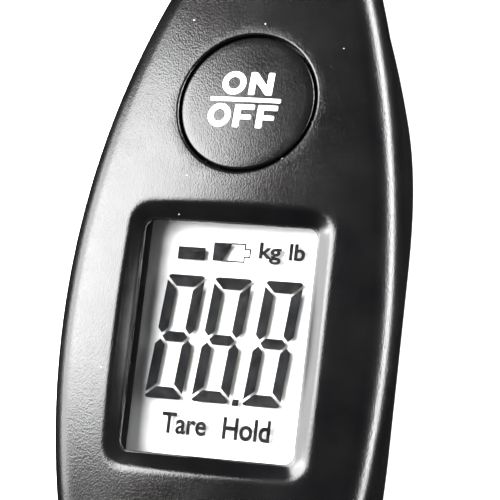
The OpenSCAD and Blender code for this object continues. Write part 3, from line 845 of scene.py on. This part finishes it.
def raised(skin, outer, holes, top, thickness, spacing=0.5):
    """A thin plate with this outline that lies on a curved surface, as one closed skin."""
    def spaced(loop):
        made = []
        for k, p in enumerate(loop):
            q = loop[(k + 1) % len(loop)]
            count = max(1, round(math.dist(p, q) / spacing))
            made += [(p[0] + (q[0] - p[0]) * t, p[1] + (q[1] - p[1]) * t) for t in steps(0, 1, count)[:-1]]
        return made

    loops = [spaced(loop) for loop in [outer] + holes]
    upper = [skin.ring(loop, lambda x, y: top(x, y) + thickness) for loop in loops]
    lower = [skin.ring(loop, lambda x, y: top(x, y) - thickness) for loop in loops]
    for a, b in zip(upper, lower):
        skin.band(a, b)
    skin.fill(upper[0], upper[1:], lambda x, y: top(x, y) + thickness, spacing)
    skin.fill(lower[0], lower[1:], lambda x, y: top(x, y) - thickness, spacing)


def button_print():
    """ON over a bar over OFF, in a round bold sans."""
    stem, arm, cap_h, ink_t = 0.76, 0.62, 2.85, 0.02
    skin = Skin()

    def letter(corners, x, y):
        raised(skin, [(x + u, y + v) for u, v in rounded(corners, 0.16)], [], button_top, ink_t)

    def letter_o(x, y, w=3.0):
        def oval(half_w, half_h, count):
            turns = steps(0, 2 * math.pi, count)[:-1]
            return [(x + half_w * math.cos(a), y + half_h * math.sin(a)) for a in turns]

        hole = oval(w / 2 - 0.7, cap_h / 2 - 0.64, 32)
        raised(skin, oval(w / 2, cap_h / 2 * 1.03, 44), [hole], button_top, ink_t)

    n_w = 2.95
    letter_n = [
        (0, 0), (stem, 0), (stem, cap_h * 0.58), (n_w - stem, 0), (n_w, 0),
        (n_w, cap_h), (n_w - stem, cap_h), (n_w - stem, cap_h * 0.42), (stem, cap_h), (0, cap_h),
    ]
    f_w, mid_w, mid_low = 2.45, 2.45 * 0.88, 1.02
    mid_high = mid_low + arm - 0.06
    letter_f = [
        (0, 0), (stem, 0), (stem, mid_low), (mid_w, mid_low), (mid_w, mid_high),
        (stem, mid_high), (stem, cap_h - arm), (f_w, cap_h - arm), (f_w, cap_h), (0, cap_h),
    ]
    upper_y, lower_y = 28.95, 24.85
    letter_o(-1.95, upper_y + cap_h / 2)
    letter(letter_n, 0.02, upper_y)
    letter_o(-3.15, lower_y + cap_h / 2, 2.9)
    letter(letter_f, -1.28, lower_y)
    letter(letter_f, 1.6, lower_y)
    bar_left, bar_right, bar_y, bar_h = -4.65, 4.25, 28.06, 0.5
    letter([(bar_left, 0), (bar_right, 0), (bar_right, bar_h), (bar_left, bar_h)], 0, bar_y)
    obj = skin.piece("button_print")
    return finished(obj, "power_button", LOOKS["print"])


# ---- Display ----

REFLECTOR_Z = 19.66
SEGMENT_Z = 20.25
SEGMENT_T = 0.02
SLANT = math.tan(math.radians(5))
DIGITS_X = (-6.8, -0.85, 5.6)
DIGITS_Y = -0.15


def seven_segments(x, y):
    """The seven mitred segments of one slanted digit."""
    w, h, t, top_t, gap = 2.36, 7.5, 1.28, 1.42, 0.38
    a = [
        (-w + 0.42, h), (w - 0.42, h), (w - 0.16, h - 0.1), (w - 0.04, h - 0.3),
        (w - t, h - top_t), (-w + t, h - top_t), (-w + 0.04, h - 0.3), (-w + 0.16, h - 0.1),
    ]
    f = [
        (-w, h - 0.3 - gap), (-w + t, h - top_t - gap), (-w + t, 1.02),
        (-w + 0.6, 0.36), (-w, 0.96),
    ]
    g = [(-1.62, 0), (-1.06, 0.62), (1.06, 0.62), (1.62, 0), (1.06, -0.62), (-1.06, -0.62)]
    flips = [(a, 1, 1), (a, 1, -1), (g, 1, 1)] + [(f, sx, sy) for sx in (-1, 1) for sy in (-1, 1)]
    return [[(x + sx * u + sy * v * SLANT, y + sy * v) for u, v in shape] for shape, sx, sy in flips]


def stroke(p, q, width):
    """A straight thin line as a polygon."""
    d = (Vector(q) - Vector(p)).normalized() * width / 2
    n = Vector((-d.y, d.x))
    ends = (Vector(p) - d, Vector(q) + d)
    return [tuple(ends[0] + n), tuple(ends[0] - n), tuple(ends[1] - n), tuple(ends[1] + n)]


def lcd_marks():
    """The display's dark segments, a little above its white back so that they cast soft shadows on it."""
    shapes = []
    for x in DIGITS_X:
        shapes += seven_segments(x, DIGITS_Y)
    decimal_point = [(1.3, -7.8), (2.1, -7.8), (2.2, -7.0), (1.4, -7.0)]
    minus_bar = [(-7.65, 9.22), (-4.2, 9.22), (-4.2, 10.75), (-7.65, 10.75)]
    battery_charge = [(-3.2, 9.27), (-1.95, 9.27), (-0.85, 11.5), (-3.2, 11.5)]
    shapes += [decimal_point, minus_bar, battery_charge]
    battery = [
        (-0.85, 11.45), (0.8, 11.45), (0.8, 10.85), (1.48, 10.85), (1.48, 9.93), (0.8, 9.93),
        (0.8, 9.32), (-1.95, 9.32),
    ]
    shapes += [stroke(p, q, 0.17) for p, q in zip(battery, battery[1:])]
    skin = Skin()
    for shape in shapes:
        skin.solid([skin.ring(shape, z) for z in (SEGMENT_Z, SEGMENT_Z + SEGMENT_T)])
    obj = skin.piece("lcd_segments")
    return finished(obj, "case", LOOKS["ink"])


def lcd_word(name, text, low, high, weight):
    """A word in the built-in sans, fitted to a box on the display."""
    curve = bpy.data.curves.new(name, "FONT")
    curve.body = text
    curve.offset = weight
    curve.resolution_u = 6
    curve.extrude = SEGMENT_T / 2
    draft = linked(name + "_draft", curve)
    mesh = evaluated_mesh(draft)
    bpy.data.objects.remove(draft)
    co = np.array([v.co for v in mesh.vertices])
    span = co.max(0) - co.min(0)
    box = [high[0] - low[0], high[1] - low[1], 1.0]
    fitted = (co - co.min(0)) / np.array([span[0], span[1], 1.0]) * box
    fitted += [low[0], low[1], SEGMENT_Z]
    mesh.vertices.foreach_set("co", (fitted * MM).astype(np.float32).ravel())
    return finished(linked(name, turned_out(mesh, 1e-7)), "case", LOOKS["ink"])


def lcd_reflector():
    """The white back of the display, a film with a faint cockle."""
    skin = Skin()
    half, middle_drop, cockle, half_t = (11.6, 14.9), 0.26, 0.012, 0.28
    wave = lambda x, y: REFLECTOR_Z - middle_drop + cockle * math.sin(x / 3.1) * math.cos(y / 4.3)
    raised(skin, round_rect((0, VIEW_Y), half, 0.6, (1, 1), 4), [], wave, half_t, 1.2)
    obj = skin.piece("lcd_back_film")
    return finished(obj, "case", LOOKS["reflector"], ["lcd_reflector"])


def lcd_cell():
    """The glass sandwich with its films, round the dark segments."""
    skin = Skin()
    at, half, low_z, high_z, bevel, corner_r = (0, VIEW_Y), (12.2, 15.8), 19.62, 21.95, 0.12, 0.4
    rings = [
        skin.ring(round_rect(at, (half[0] - b, half[1] - b), corner_r, (6, 8), 4), z)
        for b, z in [(bevel, low_z), (0, low_z + bevel), (0, high_z - bevel), (bevel, high_z)]
    ]
    skin.chain(rings)
    skin.fill(rings[0], [], low_z, spacing=3.0)
    skin.fill(rings[-1], [], high_z, spacing=3.0)
    obj = skin.piece("lcd_cell")
    return finished(obj, "case", LOOKS["glass"], ["lcd_glass", "lcd_polarizer"])


# ---- Bent wires ----

def trace(runs, at, heading=0.0):
    """Middle line of a bent wire; each entry is (run, bend radius, turn in degrees)."""
    at, path = Vector(at), [Vector(at)]
    for run, bend, turn in runs:
        way = Vector((math.cos(heading), math.sin(heading)))
        if run > 0:
            count = max(1, round(run / 1.5))
            path += [at + way * run * t for t in steps(0, 1, count)[1:]]
            at = path[-1]
        if turn:
            side = math.copysign(1, turn)
            hub = at + side * bend * Vector((-way.y, way.x))
            count = max(3, round(abs(turn) / 5))
            for t in steps(0, 1, count)[1:]:
                path.append(hub + Matrix.Rotation(math.radians(turn) * t, 2) @ (at - hub))
            at = path[-1]
            heading += math.radians(turn)
    return path


def tube(path, r, pivot, tilt, closed=False, sides=28):
    """A round wire along a flat path, tilted and moved to its pivot; open ends are domed."""
    n, skin, rings = len(path), Skin(), []

    def ring(centre, way, radius):
        normal = Vector((-way.y, way.x))
        points = []
        for k in range(sides):
            a = 2 * math.pi * k / sides
            p = centre + normal * radius * math.cos(a)
            points.append((p.x, p.y, radius * math.sin(a)))
        rings.append(skin.add(points))

    dome = [math.radians(a) for a in (84, 66, 46, 24)]
    for i, p in enumerate(path):
        before = path[i - 1] if i or closed else p
        after = path[(i + 1) % n] if i < n - 1 or closed else p
        way = (after - before).normalized()
        end = 0 if closed else (i == 0) - (i == n - 1)
        if end:
            for a in dome[::end]:
                ring(p + way * end * r * 0.5 * (1 - math.sin(a)), way, r * math.cos(a))
        else:
            ring(p, way, r)
    if closed:
        skin.chain(rings + [rings[0]])
    else:
        skin.solid(rings)
    turn = Matrix.Rotation(tilt, 3, "X")
    skin.points = [turn @ Vector(p) + Vector(pivot) for p in skin.points]
    return skin


HOOK_R = 2.0
BOWL_R = 13.5


def hook():
    eye_half, eye_bend, eye_turn, neck_bend = 4.0, 3.5, 130.0, 6.0
    shank, kick_bend, kick_turn = 6.0, 8.0, 50.0
    bowl_turn, tip_bend, tip_turn, tip_run = 250, 6, 40, 1.5
    neck_turn = eye_turn - 90
    sin, cos = (lambda a: math.sin(math.radians(a))), (lambda a: math.cos(math.radians(a)))
    eye_reach = eye_half + eye_bend * sin(eye_turn)
    eye_leg = (eye_reach - neck_bend * (1 - cos(neck_turn))) / sin(neck_turn)
    short_leg = (eye_reach - HOOK_R - 0.4) / sin(neck_turn)
    kick_run = (BOWL_R * cos(kick_turn) - kick_bend * (1 - cos(kick_turn))) / sin(kick_turn)
    eye_drop = eye_bend * (1 - cos(eye_turn)) + eye_leg * cos(neck_turn) + neck_bend * sin(neck_turn)
    bowl_low = eye_drop + shank + (kick_bend + BOWL_R) * sin(kick_turn) + kick_run * cos(kick_turn) + BOWL_R
    tilt = math.asin((LOAD_Z - HOOK_R) / bowl_low)
    long_side = trace([
        (0, eye_bend, -eye_turn), (eye_leg, neck_bend, neck_turn), (shank, kick_bend, -kick_turn),
        (kick_run, BOWL_R, bowl_turn), (0, tip_bend, -tip_turn), (tip_run, 0, 0),
    ], (eye_half, 0))
    short_side = trace([(0, eye_bend, -eye_turn), (short_leg, 0, 0)], (eye_half, 0))
    bar = [Vector((x, 0)) for x in steps(-eye_half, eye_half, 6)[1:-1]]
    path = [Vector((-p.x, p.y)) for p in reversed(short_side)] + bar + long_side
    obj = tube(path, HOOK_R, (0, -PIVOT_Y, LOAD_Z), tilt).piece("hook_wire")
    return finished(obj, "hook", LOOKS["chrome"], ["hook"], 50)


RING_R = 1.75
RING_PITCH = 14.0
STRAP_T = 1.4
STRAP_PLAY = 0.12
RING_FAR_Z = RING_R + STRAP_PLAY + STRAP_T
RING_TILT = math.asin((LOAD_Z - RING_FAR_Z) / RING_PITCH)
RING_FAR_Y = PIVOT_Y + RING_PITCH * math.cos(RING_TILT)


def strap_ring():
    inner_w, bend = 27, 3.0
    half = inner_w / 2 + RING_R - bend
    side = RING_PITCH - 2 * bend
    corners = [(half, bend, 90), (side, bend, 90), (2 * half, bend, 90), (side, bend, 90)]
    path = trace(corners + [(half, 0, 0)], (0, 0))
    wire = tube(path[:-1], RING_R, (0, PIVOT_Y, LOAD_Z), -RING_TILT, closed=True)
    obj = wire.piece("strap_ring_wire")
    return finished(obj, "strap_ring", LOOKS["chrome"], ["strap_ring"], 50)


# ---- Hand loop ----

STRAP_HALF = 12.0
WEB_T = 1.3
LOOP_LEN = 104
LOOP_R = 13.4
SEAM_START = RING_FAR_Y + 12
SEAM_END = SEAM_START + 10
LOOP_FAR_Y = SEAM_END + LOOP_LEN - LOOP_R


def wrap(tip, hub_y, r, low):
    """Arc about y = hub_y standing on z = low, from its foot to where a straight run from the tip meets it."""
    way = math.copysign(1, hub_y - tip[0])
    rise, reach = tip[1] - low - r, abs(hub_y - tip[0])
    top = math.pi - math.atan2(rise, reach) - math.acos(r / math.hypot(rise, reach))
    return [
        (hub_y + way * r * math.cos(a), low + r + r * math.sin(a)) for a in steps(-math.pi / 2, top, 36)
    ]


def strap_path():
    """Middle line of the webbing in the YZ plane: round the ring's bar, through the seam and round the loop."""
    mid = STRAP_T / 2
    upper = 3 * mid
    eye = wrap((SEAM_START, upper), RING_FAR_Y, RING_R + STRAP_PLAY + mid, mid)
    loop = wrap((SEAM_END, upper), LOOP_FAR_Y, LOOP_R - mid, mid)
    rough = eye + [(SEAM_START, upper), (SEAM_END, upper)] + loop[::-1]
    points = np.array(rough + [rough[0]])
    along = np.concatenate([[0], np.cumsum(np.hypot(*np.diff(points, axis=0).T))])
    count = round(along[-1] / 0.9)
    at = np.linspace(0, along[-1], count, endpoint=False)
    path = np.stack([np.interp(at, along, points[:, c]) for c in (0, 1)], axis=1)
    for _ in range(3):
        path = path * 0.5 + (np.roll(path, 1, axis=0) + np.roll(path, -1, axis=0)) * 0.25
    path[:, 1] = np.maximum(path[:, 1], mid)
    return path, at, along[-1]


def strap_section(count=30):
    """Half-section of the webbing as (across, height above the middle), with ribs and round selvedges."""
    top, edge_at = [], STRAP_HALF - 0.35
    for u in np.linspace(-1, 1, count):
        across = u * edge_at
        rib = 0.035 * math.cos(2 * math.pi * across / RIB_PITCH)
        top.append((across, WEB_T / 2 - 0.04 + rib))
    edge = [
        (edge_at + 0.33 * math.cos(a), (WEB_T / 2 - 0.1) * math.sin(a))
        for a in steps(math.pi / 3, -math.pi / 3, 4)
    ]
    return top + edge + [(x, -z) for x, z in top[::-1]] + [(-x, -z) for x, z in edge]


def hand_loop():
    path, at, length = strap_path()
    section = strap_section()
    n, m = len(path), len(section)
    way = np.roll(path, -1, axis=0) - np.roll(path, 1, axis=0)
    way /= np.linalg.norm(way, axis=1)[:, None]
    points, strap = [], []
    for i in range(n):
        normal = (way[i][1], -way[i][0])
        for x, h in section:
            weft = 1 + 0.03 * math.sin(2 * math.pi * at[i] / 2.3 + x * 2)
            points.append((x, path[i][0] + normal[0] * h * weft, path[i][1] + normal[1] * h * weft))
            strap.append((at[i], x, h))
    skin = Skin()
    rings = [list(range(i * m, (i + 1) * m)) for i in range(n)]
    skin.chain(rings + [rings[0]])
    mesh = bpy.data.meshes.new("hand_loop_webbing")
    mesh.from_pydata([Vector(p) * MM for p in points], [], skin.faces)
    place = mesh.attributes.new("strap", "FLOAT_VECTOR", "POINT")
    place.data.foreach_set("vector", np.array(strap).ravel())
    obj = linked("hand_loop_webbing", turned_out(mesh))
    finished(obj, "strap_ring", LOOKS["webbing"], ["hand_loop"], 60)
    return obj


def stitching():
    """A box with a cross, sewn through both layers; each stitch is a short plump thread."""
    low_y, high_y, half_x = SEAM_START + 1.2, SEAM_END - 1.0, 10.3
    corners = [(-half_x, low_y), (half_x, low_y), (half_x, high_y), (-half_x, high_y)]
    lines = [(corners[k], corners[(k + 1) % 4]) for k in range(4)]
    lines += [(corners[0], corners[2]), (corners[1], corners[3])]
    thread_r, pitch, fill_share, dip, rows, sides = 0.24, 2.3, 0.82, 0.12, 6, 8
    skin = Skin()
    for p, q in lines:
        p, q = Vector(p), Vector(q)
        count = max(2, round((q - p).length / pitch))
        for k in range(count):
            middle = p + (q - p) * (k + 0.5) / count
            half = (q - p) / count / 2 * fill_share
            for z in (3 * STRAP_T / 2 + WEB_T / 2, thread_r + 0.01):
                way = half.normalized()
                side = Vector((-way.y, way.x))
                rings = []
                for t in steps(-1, 1, rows):
                    swell = math.sqrt(max(0.02, 1 - t * t)) ** 0.6
                    lift = z - dip * t * t if z > 1 else z + dip * t * t
                    centre = middle + half * t
                    points = []
                    for s in range(sides):
                        a = 2 * math.pi * s / sides
                        flat = centre + side * thread_r * swell * math.cos(a)
                        points.append((flat.x, flat.y, lift + thread_r * swell * math.sin(a)))
                    rings.append(skin.add(points))
                skin.solid(rings)
    obj = skin.piece("hand_loop_stitching")
    return finished(obj, "strap_ring", LOOKS["thread"], sharp=60)


# ---- Stage and light ----

def stage():
    mesh = bpy.data.meshes.new("floor")
    size, low = 4.0, -0.00006
    corners = [(-size, -size, low), (size, -size, low), (size, size, low), (-size, size, low)]
    mesh.from_pydata(corners, [], [(0, 1, 2, 3)])
    floor = linked("floor", mesh)
    look = Look("pale_floor", rough=0.6)
    look.colour(look.mottled(160, 2, (0.84, 0.84, 0.845), (0.88, 0.88, 0.88)))
    look.shader.inputs["Emission Color"].default_value = (1, 1, 1, 1)
    look.shader.inputs["Emission Strength"].default_value = 0.8
    floor.data.materials.append(look.material)
    floor.visible_glossy = False
    floor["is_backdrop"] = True


def area_light(name, at, aim, size, power):
    data = bpy.data.lights.new(name, "AREA")
    data.shape = "RECTANGLE"
    data.size, data.size_y = size
    data.energy = power
    light = bpy.data.objects.new(name, data)
    bpy.context.scene.collection.objects.link(light)
    light.location = at
    light.rotation_mode = "QUATERNION"
    light.rotation_quaternion = (Vector(at) - Vector(aim)).to_track_quat("Z", "Y")
    light.visible_camera = False
    return light


def lights():
    middle = (0, 0.01, 0.02)
    area_light("key", (-0.46, 0.18, 0.55), middle, (0.48, 0.37), 11.5)
    area_light("low_key", (-0.74, 0.10, 0.32), middle, (0.56, 0.50), 9.1)
    area_light("edge_strip", (0.72, 0.28, 0.15), middle, (1.25, 0.22), 27)
    fill = area_light("soft_fill", (-0.55, 0.1, 1.05), middle, (0.8, 0.8), 60)
    fill.visible_glossy = False
    world = bpy.data.worlds.new("soft_world")
    world.use_nodes = True
    tree = world.node_tree
    way = tree.nodes.new("ShaderNodeTexCoord")
    split = tree.nodes.new("ShaderNodeSeparateXYZ")
    level = tree.nodes.new("ShaderNodeMapRange")
    horizon, above, below = 0.15, 0.08, 0.35
    ends = {"From Min": horizon, "From Max": -horizon, "To Min": above, "To Max": below}
    for socket, value in ends.items():
        level.inputs[socket].default_value = value
    tree.links.new(way.outputs["Generated"], split.inputs["Vector"])
    tree.links.new(split.outputs["Z"], level.inputs["Value"])
    tree.links.new(level.outputs["Result"], tree.nodes["Background"].inputs["Strength"])
    bpy.context.scene.world = world
    bpy.context.scene.view_settings.view_transform = "Standard"


dress_cad_nodes()
front_cover()
rear_cover()
power_button()
button_print()
lcd_reflector()
lcd_cell()
lcd_marks()
lcd_word("lcd_kg", "kg", (2.6, 9.25), (5.4, 11.85), 0.03)
lcd_word("lcd_lb", "lb", (6.35, 9.85), (8.35, 11.9), 0.03)
lcd_word("lcd_tare", "Tare", (-7.2, -11.7), (-1.5, -9.15), 0.025)
lcd_word("lcd_hold", "Hold", (0.55, -11.8), (6.5, -9.15), 0.025)
hook()
strap_ring()
hand_loop()
stitching()
soften_cad_edges()
stage()
lights()

bpy.context.view_layer.update()
low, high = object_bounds()
{"cad": [list(cad_low), list(cad_high)], "visual": [list(low), list(high)]}
